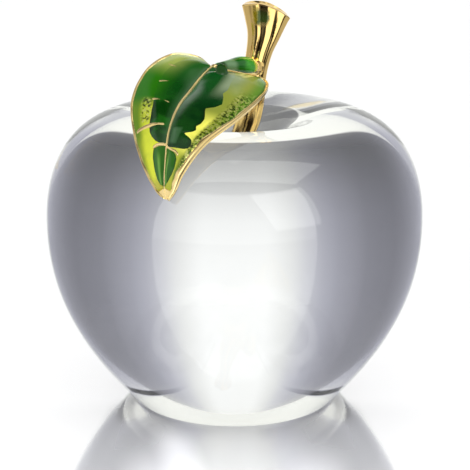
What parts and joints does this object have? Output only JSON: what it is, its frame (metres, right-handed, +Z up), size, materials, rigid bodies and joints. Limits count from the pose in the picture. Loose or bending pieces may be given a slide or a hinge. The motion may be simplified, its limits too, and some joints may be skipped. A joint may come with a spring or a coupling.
{
  "type": "glass apple paperweight",
  "caption": "Solid clear glass apple ornament on a flat foot, with a gilt cast stem set in its dimple and a gilt leaf with green enamel that hangs over the front shoulder.",
  "frame": {"origin": "centre of the flat ground foot, on the surface that the ornament stands on", "axes": "+Z up along the glass body's axis, -Y to the front where the leaf hangs, +X to the right of someone who looks at the leaf"},
  "size_m": [0.08, 0.08, 0.0854],
  "materials": {
    "clear_glass": "polished clear crystal glass",
    "clear_adhesive": "clear cured adhesive",
    "gilt_brass": "polished gold plating on cast brass",
    "gilt_solder": "gold-plated soft solder",
    "dark_enamel": "glossy translucent dark green enamel",
    "light_enamel": "glossy translucent yellow-green enamel",
    "drop_enamel": "glossy translucent mid green enamel"
  },
  "bodies": {
    "root": {"glass_apple": "clear_glass", "stem_adhesive": "clear_adhesive", "stem": "gilt_brass", "leaf_solder": "gilt_solder", "leaf_plate": "gilt_brass", "enamel_dark_left": "dark_enamel", "enamel_dark_right": "dark_enamel", "enamel_light_left": "light_enamel", "enamel_light_right": "light_enamel", "enamel_tip_left": "drop_enamel", "enamel_tip_right": "drop_enamel", "enamel_stalk": "drop_enamel"}
  },
  "joints": []
}
